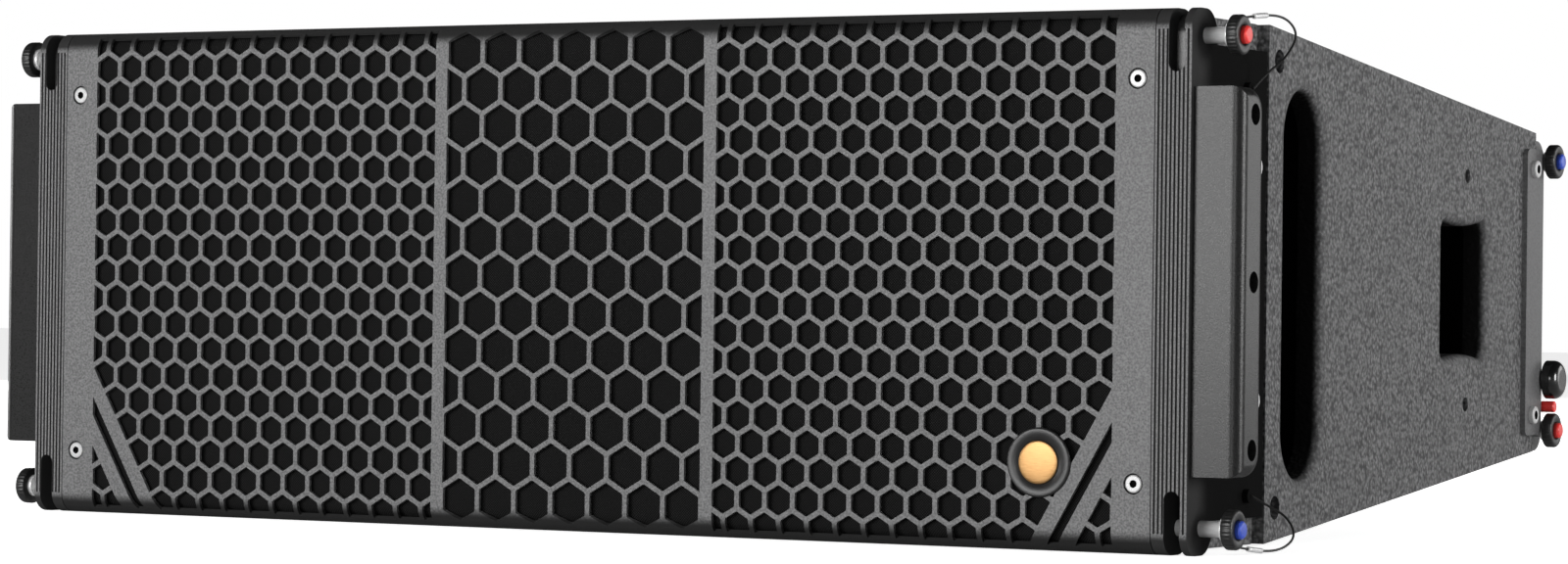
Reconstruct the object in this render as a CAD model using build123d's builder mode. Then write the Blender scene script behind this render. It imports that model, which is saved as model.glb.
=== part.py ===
"""Dual-woofer line array loudspeaker module with side rigging frames.

Millimetres, +Z up, front towards -Y. The origin is at the bottom centre of the whole
assembly. `depth` is measured back from the front face, `height` from mid height.
"""
import os
from math import cos, pi, radians, sin, tan

from build123d import *

os.makedirs("parts", exist_ok=True)

# Driving dimensions
HALF_HEIGHT = 131.0
DEPTH = 526.0
BADGE_PROUD = 2.0
FRONT_Y = -(DEPTH - BADGE_PROUD) / 2
WALL_X = 334.0
PANEL = 15.0
SKIN = 12.0
SHOULDER = 117.0
CABINET_BACK = 502.0
BACK_HALF = 91.0
BAFFLE_FRONT = 28.0
BAFFLE_BACK = 43.0
INNER_X = WALL_X - PANEL
EDGE_STEP = 1.0
SKIN_Z = HALF_HEIGHT - EDGE_STEP
REBATE_BACK = 120.0
HEX = radians(30)

GRILLE_X = 327.0
GRILLE_SHEET = 2.0
ROLL = 10.5
GRILLE_RETURN = 26.0
PERFORATED_X = 306.6
BAR_X = 81.3
BAR_WIDTH = 7.1
SIDE_PITCH = 16.0
CENTRE_PITCH = 22.4
STRUT = 2.6
STRIPE_TOP = 72.5
STRIPE_SLOT = 5.0
STRIPE_KEEP = 19.0

FRAME_X0 = 327.5
FRAME_X1 = 346.0
FRAME_DEPTH = 30.0
TAIL = 6.0
TAIL_BACK = 118.0
PIN_DEPTH = 17.0
PIN_HEIGHT = 118.0
PIN_R = 4.0
BORE_R = 4.05
SLOT_X = 338.2
SLOT_WIDTH = 8.2
SLOT_END = 100.0
LINK_WIDTH = 20.0
LINK_THICK = 6.0
LINK_TRAVEL = 26.0
BUMPER_X1 = 371.6
BUMPER_HALF = 93.0

WOOFER_X = 200.0
REAR_PIN_DEPTH = 514.0
REAR_UPPER = 75.0
REAR_LOWER = -79.0
REAR_SLOT_X = 317.5
KNOB_HEIGHT = -50.0
LOCK_HEIGHT = -65.5

WIRE_R = 0.6


def y(depth):
    return depth + FRONT_Y


def z(height):
    return height + HALF_HEIGHT


def facing(depth, x=0.0, height=0.0):
    """Plane that faces the front, its own x along X and its own y along Z."""
    return Plane(origin=(x, y(depth), z(height)), x_dir=(1, 0, 0), z_dir=(0, -1, 0))


def side(x):
    """Plane across X, its own x along Y and its own y along Z."""
    return Plane.YZ.offset(x)


def on_side(places):
    """Sketch points on a side plane from depth and height pairs."""
    return [(y(depth), z(height)) for depth, height in places]


def round_plane(x):
    """Plane through the axis of a woofer, for its turned profiles."""
    return Plane(origin=(x, y(0), z(0)), x_dir=(1, 0, 0), z_dir=(0, 0, 1))


def save(part, name):
    part.label = name
    export_step(part, f"parts/{name}.step")


def save_pair(right, name):
    """Write the right-hand piece and its mirror image on the left."""
    with BuildPart() as left:
        mirror(right, about=Plane.YZ)
    save(right, f"{name}_right")
    save(left.part, f"{name}_left")


# Cabinet: side walls with a rebate for the front frame, a hand slot and a rear hand hole
def side_outline():
    with BuildLine() as outline:
        Polyline(
            (y(BAFFLE_BACK), z(SKIN_Z)),
            (y(SHOULDER), z(SKIN_Z)),
            (y(CABINET_BACK), z(BACK_HALF)),
            (y(CABINET_BACK), z(-BACK_HALF)),
            (y(SHOULDER), z(-SKIN_Z)),
            (y(BAFFLE_BACK), z(-SKIN_Z)),
            close=True,
        )
    return outline.line


SLOT_DEPTH, SLOT_LONG, SLOT_WIDE = 166.5, 207.0, 58.0
HOLE_DEPTH, HOLE_HALF, HOLE_CORNER, HOLE_WAIST = 392.5, 38.5, 44.0, 40.0
HOLE_FILLET = 8.0
PORT_PLUGS = [(395, 63), (395, -63)]
PORT_PLUG_R = 4.0
BLIND_HOLES = [(133, 112), (133, -112)]
BLIND_HOLE_R = 6.0
BLIND_HOLE = 12.0


def hand_hole_outline(grow=0.0):
    """Four-sided opening whose top and bottom edges bow inwards."""
    left, right = y(HOLE_DEPTH) - HOLE_HALF - grow, y(HOLE_DEPTH) + HOLE_HALF + grow
    top, waist = HOLE_CORNER + grow, HOLE_WAIST + grow
    with BuildLine() as outline:
        ThreePointArc((left, z(top)), (y(HOLE_DEPTH), z(waist)), (right, z(top)))
        Line((right, z(top)), (right, z(-top)))
        ThreePointArc((right, z(-top)), (y(HOLE_DEPTH), z(-waist)), (left, z(-top)))
        Line((left, z(-top)), (left, z(top)))
    return outline.line


with BuildPart() as side_panel:
    with BuildSketch(side(INNER_X)):
        add(side_outline())
        make_face()
    extrude(amount=PANEL)
    with BuildSketch(side(WALL_X)):
        with Locations((y((BAFFLE_BACK + REBATE_BACK) / 2), z(0))):
            Rectangle(REBATE_BACK - BAFFLE_BACK, 2 * HALF_HEIGHT)
    extrude(amount=-(WALL_X - FRAME_X0), mode=Mode.SUBTRACT)
    with BuildSketch(side(WALL_X)):
        with Locations((y(SLOT_DEPTH), z(0))):
            SlotOverall(SLOT_LONG, SLOT_WIDE, rotation=90)
    extrude(amount=-PANEL, mode=Mode.SUBTRACT)
    with BuildSketch(side(WALL_X)):
        add(hand_hole_outline())
        make_face()
        fillet(vertices(), HOLE_FILLET)
    extrude(amount=-PANEL, mode=Mode.SUBTRACT)
    with BuildSketch(side(WALL_X)):
        with Locations(*on_side(PORT_PLUGS)):
            Circle(PORT_PLUG_R)
        with Locations(*on_side(BLIND_HOLES)):
            Circle(BLIND_HOLE_R)
    extrude(amount=-BLIND_HOLE, mode=Mode.SUBTRACT)
save_pair(side_panel.part, "side_panel")


# Moulded cups behind the hand slot and the hand hole
CUP_SINK = 0.8
CUP_GAP = 0.4
CUP_WALL = 2.5
CUP_FLANGE = 3.0
SLOT_CUP = 48.0
HOLE_CUP = 42.0

with BuildPart() as front_cup:
    for inset, mode in ((0, Mode.ADD), (CUP_WALL, Mode.SUBTRACT)):
        less = CUP_GAP + 2 * inset
        with BuildSketch(side(WALL_X - CUP_SINK)):
            with Locations((y(SLOT_DEPTH), z(0))):
                SlotOverall(SLOT_LONG - less, SLOT_WIDE - less, rotation=90)
        extrude(amount=inset - SLOT_CUP, mode=mode)
save_pair(front_cup.part, "hand_slot_cup")

with BuildPart() as rear_cup:
    with BuildSketch(side(INNER_X)):
        add(hand_hole_outline(CUP_FLANGE))
        make_face()
        fillet(vertices(), HOLE_FILLET + CUP_FLANGE - 1)
    extrude(amount=-HOLE_CUP)
    with BuildSketch(side(INNER_X)):
        add(hand_hole_outline())
        make_face()
        fillet(vertices(), HOLE_FILLET)
    extrude(amount=CUP_FLANGE - HOLE_CUP, mode=Mode.SUBTRACT)
save_pair(rear_cup.part, "hand_hole_cup")


# Top and bottom skins follow the shoulder of the side walls
def skin(sign):
    outer, inner = SKIN_Z, SKIN_Z - SKIN
    with BuildPart() as panel:
        with BuildSketch(side(-INNER_X)):
            with BuildLine():
                Polyline(
                    (y(BAFFLE_BACK), z(sign * outer)),
                    (y(SHOULDER), z(sign * outer)),
                    (y(CABINET_BACK), z(sign * BACK_HALF)),
                    (y(CABINET_BACK), z(sign * (BACK_HALF - SKIN))),
                    (y(SHOULDER), z(sign * inner)),
                    (y(BAFFLE_BACK), z(sign * inner)),
                    close=True,
                )
            make_face()
        extrude(amount=2 * INNER_X)
    return panel.part


save(skin(1), "top_panel")
save(skin(-1), "bottom_panel")

PLATE_W, PLATE_H, PLATE_T = 200.0, 100.0, 3.0
PLATE_LAP = 12.0
PLATE_CORNER = 6.0
CONNECTORS = [(-30, 0), (30, 0)]
CONNECTOR_R = 12.2
CONNECTOR_BORE_R = 10.0
PLATE_HOLE_R = 12.5

with BuildPart() as rear_panel:
    with BuildSketch(facing(CABINET_BACK)):
        Rectangle(2 * INNER_X, 2 * (BACK_HALF - SKIN) - 0.2)
        Rectangle(PLATE_W - 2 * PLATE_LAP, PLATE_H - 2 * PLATE_LAP, mode=Mode.SUBTRACT)
    extrude(amount=SKIN)
save(rear_panel.part, "rear_panel")

# Front board carries both woofers and the waveguide
GRILLE_SCREWS = [(sx * 318, sz * 97) for sx in (-1, 1) for sz in (-1, 1)]
GRILLE_SCREW_R = 2.0
BAFFLE_HALF = 128.0
WOOFER_HOLE_R = 115.0
GUIDE_W, GUIDE_H = 140.0, 224.0
with BuildPart() as baffle:
    with BuildSketch(facing(BAFFLE_FRONT)):
        Rectangle(2 * GRILLE_X, 2 * BAFFLE_HALF)
        with Locations((-WOOFER_X, 0), (WOOFER_X, 0)):
            Circle(WOOFER_HOLE_R, mode=Mode.SUBTRACT)
        Rectangle(GUIDE_W, GUIDE_H, mode=Mode.SUBTRACT)
        with Locations(*GRILLE_SCREWS):
            Circle(GRILLE_SCREW_R + 0.1, mode=Mode.SUBTRACT)
    extrude(amount=-(BAFFLE_BACK - BAFFLE_FRONT))
save(baffle.part, "baffle")


# Woofers: turned basket, magnet with a voice coil gap, and the moving cone
def turned(points):
    """Solid of revolution about the right-hand woofer's axis from radius/depth points."""
    with BuildPart() as body:
        with BuildSketch(round_plane(WOOFER_X)):
            with BuildLine():
                Polyline(*points, close=True)
            make_face()
        revolve(axis=Axis((WOOFER_X, 0, z(0)), (0, 1, 0)))
    return body.part


# Each profile is a list of radius and depth pairs
MAGNET_FRONT = 94.0
FLANGE_FRONT = 24.0
WINDOWS, WINDOW_PCR, WINDOW_LONG, WINDOW_WIDE = 6, 82.0, 52.0, 26.0
WINDOW_FROM, WINDOW_CUT = 90.0, 44.0
SCREW_PCR, SCREW_COUNT, SCREW_HEAD_R, SCREW_HEAD = 119.5, 8, 4.0, 3.0

basket_profile = [
    (109, FLANGE_FRONT), (125, FLANGE_FRONT), (125, BAFFLE_FRONT), (114, BAFFLE_FRONT),
    (114, 38), (66, 92), (66, MAGNET_FRONT), (40, MAGNET_FRONT), (40, 90), (62, 90), (109, 36),
]
with BuildPart() as basket:
    add(turned(basket_profile))
    with BuildSketch(facing(WINDOW_FROM, WOOFER_X)):
        with PolarLocations(WINDOW_PCR, WINDOWS):
            SlotOverall(WINDOW_LONG, WINDOW_WIDE, rotation=90)
    extrude(amount=WINDOW_CUT, mode=Mode.SUBTRACT)
save_pair(basket.part, "woofer_basket")

magnet_profile = [
    (0, MAGNET_FRONT), (30.5, MAGNET_FRONT), (30.5, 122), (34.5, 122),
    (34.5, MAGNET_FRONT), (75, MAGNET_FRONT), (75, 132), (0, 132),
]
save_pair(turned(magnet_profile), "woofer_magnet")

cone_profile = [
    (0, 62), (32, 74), (104, 29.5), (107.5, 29.5), (107.5, 31.5), (104.5, 31.5),
    (33.6, 77), (33.6, 112), (32, 112), (32, 77), (0, 65),
]
save_pair(turned(cone_profile), "woofer_cone")

with BuildPart() as woofer_screws:
    for x in (-WOOFER_X, WOOFER_X):
        with BuildSketch(facing(FLANGE_FRONT, x)):
            with PolarLocations(SCREW_PCR, SCREW_COUNT, start_angle=180 / SCREW_COUNT):
                Circle(SCREW_HEAD_R)
        extrude(amount=SCREW_HEAD)
save(woofer_screws.part, "woofer_screws")

# Waveguide, high-frequency driver and crossover
MOUTH_W, MOUTH_H = 130.0, 214.0
THROAT_W, THROAT_H = 26.0, 110.0
THROAT_DEPTH = 170.0
MOUTH_WALL, THROAT_WALL = 4.0, 10.0
GUIDE_LIP = 8.0
DRIVER_R, DRIVER_THROAT_R = 52.0, 18.0
DRIVER_PLATE = 6.0
with BuildPart() as waveguide:
    with BuildSketch(facing(FLANGE_FRONT)):
        Rectangle(MOUTH_W + 2 * MOUTH_WALL, MOUTH_H + 2 * MOUTH_WALL)
    with BuildSketch(facing(THROAT_DEPTH)):
        Rectangle(THROAT_W + 2 * THROAT_WALL, THROAT_H + 4 * THROAT_WALL)
    loft()
    with BuildSketch(facing(FLANGE_FRONT)):
        Rectangle(MOUTH_W + 2 * GUIDE_LIP, MOUTH_H + 2 * GUIDE_LIP)
    extrude(amount=FLANGE_FRONT - BAFFLE_FRONT)
    with BuildSketch(facing(THROAT_DEPTH)):
        Circle(DRIVER_R)
    extrude(amount=-DRIVER_PLATE)
    with BuildSketch(facing(FLANGE_FRONT)):
        Rectangle(MOUTH_W, MOUTH_H)
    with BuildSketch(facing(THROAT_DEPTH)):
        Rectangle(THROAT_W, THROAT_H)
    loft(mode=Mode.SUBTRACT)
    with BuildSketch(facing(THROAT_DEPTH)):
        Circle(DRIVER_THROAT_R)
    extrude(amount=-DRIVER_PLATE, mode=Mode.SUBTRACT)
save(waveguide.part, "waveguide")

DRIVER_FLANGE, DRIVER_CAN, DRIVER_CAN_R = 12.0, 44.0, 46.0
with BuildPart() as driver:
    with BuildSketch(facing(THROAT_DEPTH + DRIVER_PLATE)):
        Circle(DRIVER_R)
    extrude(amount=-DRIVER_FLANGE)
    with BuildSketch(facing(THROAT_DEPTH + DRIVER_PLATE + DRIVER_FLANGE)):
        Circle(DRIVER_CAN_R)
    extrude(amount=-DRIVER_CAN)
    chamfer(driver.faces().sort_by(Axis.Y)[-1].edges(), 4)
save(driver.part, "compression_driver")

BOARD_W, BOARD_H, BOARD_STACK = 220.0, 120.0, 16.0
BOARD_DEPTH = CABINET_BACK - SKIN - BOARD_STACK
COILS = [(-75, 25), (-75, -28), (10, 26)]
COIL_R, COIL_HOLE_R, COIL_TALL = 22.0, 9.0, 24.0
CAPACITORS = [(75, 30), (75, 0), (75, -30), (15, -30)]
CAPACITOR_LONG, CAPACITOR_R = 44.0, 18.0
with BuildPart() as crossover:
    with BuildSketch(facing(BOARD_DEPTH)):
        Rectangle(BOARD_W, BOARD_H)
    extrude(amount=-BOARD_STACK)
    with BuildSketch(facing(BOARD_DEPTH)):
        with Locations(*COILS):
            Circle(COIL_R)
            Circle(COIL_HOLE_R, mode=Mode.SUBTRACT)
    extrude(amount=COIL_TALL)
    with BuildSketch(facing(BOARD_DEPTH)):
        with Locations(*CAPACITORS):
            Rectangle(CAPACITOR_LONG, CAPACITOR_R)
    extrude(amount=CAPACITOR_R)
save(crossover.part, "crossover_board")

with BuildPart() as input_plate:
    with BuildSketch(facing(CABINET_BACK + PLATE_T)):
        RectangleRounded(PLATE_W, PLATE_H, PLATE_CORNER)
        with Locations(*CONNECTORS):
            Circle(PLATE_HOLE_R, mode=Mode.SUBTRACT)
    extrude(amount=PLATE_T)
save(input_plate.part, "input_plate")

with BuildPart() as connectors:
    for x, height in CONNECTORS:
        with BuildSketch(facing(CABINET_BACK + PLATE_T, x, height)):
            RectangleRounded(26, 31, PLATE_T)
        extrude(amount=-PLATE_T)
        with BuildSketch(facing(CABINET_BACK + PLATE_T, x, height)):
            Circle(CONNECTOR_R)
        extrude(amount=11)
        with BuildSketch(facing(CABINET_BACK + 2 * PLATE_T, x, height)):
            Circle(CONNECTOR_BORE_R)
        extrude(amount=10, mode=Mode.SUBTRACT)
save(connectors.part, "input_connectors")


# Grille: folded sheet, hexagonal perforation in three fields, one slanted slot per corner
def inside_stripes(x, height):
    """True below the line that bounds the slanted stripes, where no full cell is cut."""
    line = -STRIPE_TOP + STRIPE_KEEP - (PERFORATED_X - abs(x)) * tan(radians(60))
    return height < line + SIDE_PITCH


def cells(pitch, x0, x1, half):
    """Centres of the full cells of one field, in staggered rows."""
    rows = int(half / (pitch * cos(HEX)))
    margin = pitch / 2 - STRUT / 2
    places = []
    for row in range(-rows, rows + 1):
        shift = pitch / 2 if row % 2 else 0
        middle = (x0 + x1) / 2
        count = int((x1 - x0) / pitch) + 1
        first = 0 if pitch == CENTRE_PITCH else pitch / 2
        for step in range(-count, count + 1):
            x = middle + first + shift + step * pitch
            height = row * pitch * cos(HEX)
            if x0 + margin < x < x1 - margin and not inside_stripes(x, height):
                places.append((x, height))
    return places


CELL_MARGIN = 6.0
FLAT = HALF_HEIGHT - ROLL - CELL_MARGIN
FIELD_IN = BAR_X + BAR_WIDTH / 2


def hexagon(x, height, across):
    """Closed outline of one cell, a point up, by its width across flats."""
    reach = across / 2 / cos(HEX)
    angles = [radians(60 * corner) for corner in range(6)]
    return Wire.make_polygon([(x + reach * sin(a), height + reach * cos(a)) for a in angles])


def stripe(sign):
    """Slanted slot across a lower corner, from the perforation's edge down to the fold."""
    drop = HALF_HEIGHT - ROLL - STRIPE_TOP
    run = drop / tan(radians(60))
    half = STRIPE_SLOT / 2 / sin(radians(60))
    top, foot = sign * PERFORATED_X, sign * (PERFORATED_X - run)
    return Wire.make_polygon([
        (top - half, -STRIPE_TOP), (top + half, -STRIPE_TOP),
        (foot + half, -STRIPE_TOP - drop + 0.5), (foot - half, -STRIPE_TOP - drop + 0.5),
    ])


SCREW_HOLE_R = 4.9
holes = [hexagon(x, h, CENTRE_PITCH - STRUT) for x, h in cells(CENTRE_PITCH, -BAR_X, BAR_X, FLAT)]
for field in ((FIELD_IN, PERFORATED_X), (-PERFORATED_X, -FIELD_IN)):
    holes += [hexagon(x, h, SIDE_PITCH - STRUT) for x, h in cells(SIDE_PITCH, *field, FLAT)]
holes += [stripe(sign) for sign in (-1, 1)]
for x, height in GRILLE_SCREWS:
    holes.append(Wire.make_circle(SCREW_HOLE_R, Plane((x, height, 0))))
web = Face(Wire.make_rect(2 * GRILLE_X, 2 * (HALF_HEIGHT - ROLL)), holes)

with BuildPart() as grille:
    for inset, mode in ((0, Mode.ADD), (GRILLE_SHEET, Mode.SUBTRACT)):
        with BuildSketch(side(-GRILLE_X)):
            with Locations((y((inset + GRILLE_RETURN) / 2), z(0))):
                Rectangle(GRILLE_RETURN - inset, 2 * (HALF_HEIGHT - inset))
            fillet(vertices().group_by(Axis.X)[0], ROLL - inset)
        extrude(amount=2 * GRILLE_X, mode=mode)
    with BuildSketch(facing(0)):
        Rectangle(2 * GRILLE_X, 2 * (HALF_HEIGHT - ROLL - GRILLE_SHEET))
    extrude(amount=-GRILLE_SHEET, mode=Mode.SUBTRACT)
    extrude(facing(0) * web, amount=GRILLE_SHEET, dir=(0, 1, 0))
save(grille.part, "grille")

FOAM, FOAM_GAP, FOAM_HALF = 7.0, 0.3, 116.0
with BuildPart() as grille_foam:
    with BuildSketch(facing(GRILLE_SHEET + FOAM_GAP)):
        Rectangle(2 * (PERFORATED_X + 3), 2 * FOAM_HALF)
    extrude(amount=-FOAM)
save(grille_foam.part, "grille_foam")

with BuildPart() as grille_screws:
    with BuildSketch(facing(0)):
        with Locations(*GRILLE_SCREWS):
            Circle(SCREW_HOLE_R - 0.15)
    extrude(amount=-GRILLE_SHEET)
    with BuildSketch(facing(GRILLE_SHEET)):
        with Locations(*GRILLE_SCREWS):
            Circle(GRILLE_SCREW_R)
    extrude(amount=-38)
    with BuildSketch(facing(0)):
        with Locations(*GRILLE_SCREWS):
            RegularPolygon(1.6, 6, major_radius=False)
    extrude(amount=-1.4, mode=Mode.SUBTRACT)
save(grille_screws.part, "grille_screws")

BADGE_X, BADGE_HEIGHT = 268.0, -88.0
BADGE_R, DISC_R, BADGE_BASE = 17.0, 11.0, 1.0
with BuildPart() as badge:
    with BuildSketch(facing(0, BADGE_X, BADGE_HEIGHT)):
        Circle(BADGE_R)
    extrude(amount=BADGE_BASE)
    with BuildSketch(facing(-BADGE_BASE, BADGE_X, BADGE_HEIGHT)):
        Circle(DISC_R)
    extrude(amount=BADGE_PROUD - BADGE_BASE)
save(badge.part, "badge")

# Front rigging frame: fluted block with a link slot, and a tail plate let into the wall
LINK_GAP = 0.6
LINK_BACK = PIN_DEPTH + LINK_WIDTH / 2 + LINK_GAP
TAIL_HALF = 116.0
SLOT_TALL = 38.0
SCREW_CLEAR_R = 3.2
ANCHOR_R = 3.5
FLUTE_WIDE, FLUTE_DEEP = 1.1, 0.8
TAIL_SCREWS = [(60, 70), (60, -70), (104, 58), (104, -58)]
REAR_SCREWS = [(492, 70), (492, -70)]
BUMPER_SCREWS = [-80, 0, 80]
BUMPER_SCREW_R = 2.5
BUMPER_PLACES = on_side([(18, height) for height in BUMPER_SCREWS])
BITE = 3.0
ANCHORS = [(93, 96), (97, -105)]
ANCHOR_PROUD = 3.0
FLUTES = 8

with BuildPart() as end_frame:
    with BuildSketch(side(FRAME_X0)):
        with Locations((y(FRAME_DEPTH / 2), z(0))):
            Rectangle(FRAME_DEPTH, 2 * HALF_HEIGHT)
        fillet(vertices().group_by(Axis.X)[-1], FRAME_DEPTH - PIN_DEPTH)
        fillet(vertices().group_by(Axis.X)[0], ROLL)
    extrude(amount=FRAME_X1 - FRAME_X0)
    with BuildSketch(side(FRAME_X0)):
        with Locations((y((FRAME_DEPTH + TAIL_BACK) / 2), z(0))):
            Rectangle(TAIL_BACK - FRAME_DEPTH + 1, 2 * TAIL_HALF)
        with Locations(*on_side(TAIL_SCREWS)):
            Circle(SCREW_CLEAR_R, mode=Mode.SUBTRACT)
    extrude(amount=TAIL)
    with BuildSketch(side(FRAME_X0 + TAIL)):
        with Locations(*on_side(ANCHORS)):
            Circle(ANCHOR_R)
    extrude(amount=ANCHOR_PROUD)
    for sign in (-1, 1):
        with BuildSketch(facing(-1, SLOT_X, sign * (SLOT_END + SLOT_TALL / 2))):
            SlotOverall(SLOT_TALL, SLOT_WIDTH, rotation=90)
        extrude(amount=-(LINK_BACK + 1), mode=Mode.SUBTRACT)
    with BuildSketch(facing(PIN_DEPTH - LINK_WIDTH / 2 - LINK_GAP, SLOT_X, SLOT_END - 10)):
        Rectangle(SLOT_WIDTH, LINK_TRAVEL)
    extrude(amount=-(LINK_WIDTH + 2 * LINK_GAP), mode=Mode.SUBTRACT)
    with BuildSketch(side(FRAME_X0)):
        with Locations((y(PIN_DEPTH), z(PIN_HEIGHT)), (y(PIN_DEPTH), z(-PIN_HEIGHT))):
            Circle(BORE_R)
    extrude(amount=FRAME_X1 - FRAME_X0, mode=Mode.SUBTRACT)
    with BuildSketch(side(FRAME_X1)):
        with Locations(*BUMPER_PLACES):
            Circle(BUMPER_SCREW_R + 0.1)
    extrude(amount=-(BITE + 0.2), mode=Mode.SUBTRACT)
    with BuildSketch(facing(0, (FRAME_X0 + FRAME_X1) / 2)):
        with GridLocations((FRAME_X1 - FRAME_X0) / (FLUTES + 0.5), 0, FLUTES, 1):
            Rectangle(FLUTE_WIDE, 2 * (HALF_HEIGHT - ROLL))
    extrude(amount=-FLUTE_DEEP, mode=Mode.SUBTRACT)
save_pair(end_frame.part, "end_frame")

BUMPER_FRONT, BUMPER_LONG = 3.5, 26.5
BUMPER_FILLET, BUMPER_EDGE = 12.0, 6.0
SUNK, SUNK_R, SUNK_HEAD_R, SUNK_HEAD = 8.0, 5.2, 4.8, 4.0
with BuildPart() as bumper:
    with BuildSketch(side(FRAME_X1)):
        with Locations((y(BUMPER_FRONT + BUMPER_LONG / 2), z(0))):
            Rectangle(BUMPER_LONG, 2 * BUMPER_HALF)
        fillet(vertices().group_by(Axis.X)[-1], BUMPER_FILLET)
    extrude(amount=BUMPER_X1 - FRAME_X1)
    fillet(bumper.faces().sort_by(Axis.X)[-1].edges(), BUMPER_EDGE)
    for radius, deep in ((SUNK_R, SUNK), (BUMPER_SCREW_R + 0.1, BUMPER_X1 - FRAME_X1 + 1)):
        with BuildSketch(side(BUMPER_X1)):
            with Locations(*BUMPER_PLACES):
                Circle(radius)
        extrude(amount=-deep, mode=Mode.SUBTRACT)
save_pair(bumper.part, "side_bumper")

with BuildPart() as bumper_screws_right:
    with BuildSketch(side(BUMPER_X1 - SUNK)):
        with Locations(*BUMPER_PLACES):
            Circle(SUNK_HEAD_R)
            RegularPolygon(2.2, 6, major_radius=False, mode=Mode.SUBTRACT)
    extrude(amount=SUNK_HEAD)
    with BuildSketch(side(BUMPER_X1 - SUNK)):
        with Locations(*BUMPER_PLACES):
            Circle(BUMPER_SCREW_R)
    extrude(amount=SUNK - (BUMPER_X1 - FRAME_X1) - BITE)
with BuildPart() as bumper_screws:
    add(bumper_screws_right.part)
    mirror(bumper_screws_right.part, about=Plane.YZ)
save(bumper_screws.part, "bumper_screws")


# Links: flat bars with one long hole that runs along the pin
def link(slot_x, depth, height):
    with BuildPart() as bar:
        with BuildSketch(side(slot_x - LINK_THICK / 2)):
            with Locations((y(depth), z(height - LINK_TRAVEL / 2))):
                SlotOverall(LINK_TRAVEL + LINK_WIDTH, LINK_WIDTH, rotation=90)
                SlotOverall(LINK_TRAVEL + SLOT_WIDTH, SLOT_WIDTH, rotation=90, mode=Mode.SUBTRACT)
        extrude(amount=LINK_THICK)
    return bar.part


save_pair(link(SLOT_X, PIN_DEPTH, PIN_HEIGHT), "front_link")
save_pair(link(REAR_SLOT_X, REAR_PIN_DEPTH, REAR_UPPER), "rear_link")

HEAD_R = 9.75
HEAD = 6.0
BUTTON_R = 4.5
BUTTON_SEAT = 3.4
BUTTON_PROUD = 2.6
COLLAR_R, COLLAR = 6.0, 2.5


def pin(depth, height, tip, head):
    """Quick-release pin along X: shaft, collar and hollow head."""
    with BuildPart() as body:
        with BuildSketch(side(tip)):
            with Locations((y(depth), z(height))):
                Circle(PIN_R)
        extrude(amount=head - tip)
        chamfer(body.faces().sort_by(Axis.X)[0].edges(), 1)
        with BuildSketch(side(head)):
            with Locations((y(depth), z(height))):
                Circle(HEAD_R)
        extrude(amount=HEAD)
        with BuildSketch(side(head)):
            with Locations((y(depth), z(height))):
                Circle(COLLAR_R)
        extrude(amount=-COLLAR)
        chamfer(body.faces().sort_by(Axis.X)[-1].edges(), 1)
        with BuildSketch(side(head + HEAD)):
            with Locations((y(depth), z(height))):
                Circle(BUTTON_R + 0.1)
        extrude(amount=1 - HEAD, mode=Mode.SUBTRACT)
    return body.part


def button(depth, height, head, proud):
    """Domed release button that sinks into the head of a pin."""
    with BuildPart() as body:
        with BuildSketch(side(head + BUTTON_SEAT)):
            with Locations((y(depth), z(height))):
                Circle(BUTTON_R)
        extrude(amount=HEAD - BUTTON_SEAT + proud)
        fillet(body.faces().sort_by(Axis.X)[-1].edges(), 2)
    return body.part


FRONT_TIP, FRONT_HEAD = 329.5, 360.0
REAR_TIP, REAR_HEAD = 306.5, 338.0
for name, height in (("upper", PIN_HEIGHT), ("lower", -PIN_HEIGHT)):
    save_pair(pin(PIN_DEPTH, height, FRONT_TIP, FRONT_HEAD), f"front_{name}_pin")
    save_pair(button(PIN_DEPTH, height, FRONT_HEAD, BUTTON_PROUD), f"front_{name}_pin_button")
for name, height in (("upper", REAR_UPPER), ("lower", REAR_LOWER)):
    save_pair(pin(REAR_PIN_DEPTH, height, REAR_TIP, REAR_HEAD), f"rear_{name}_pin")
    save_pair(button(REAR_PIN_DEPTH, height, REAR_HEAD, BUTTON_PROUD), f"rear_{name}_pin_button")

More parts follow.
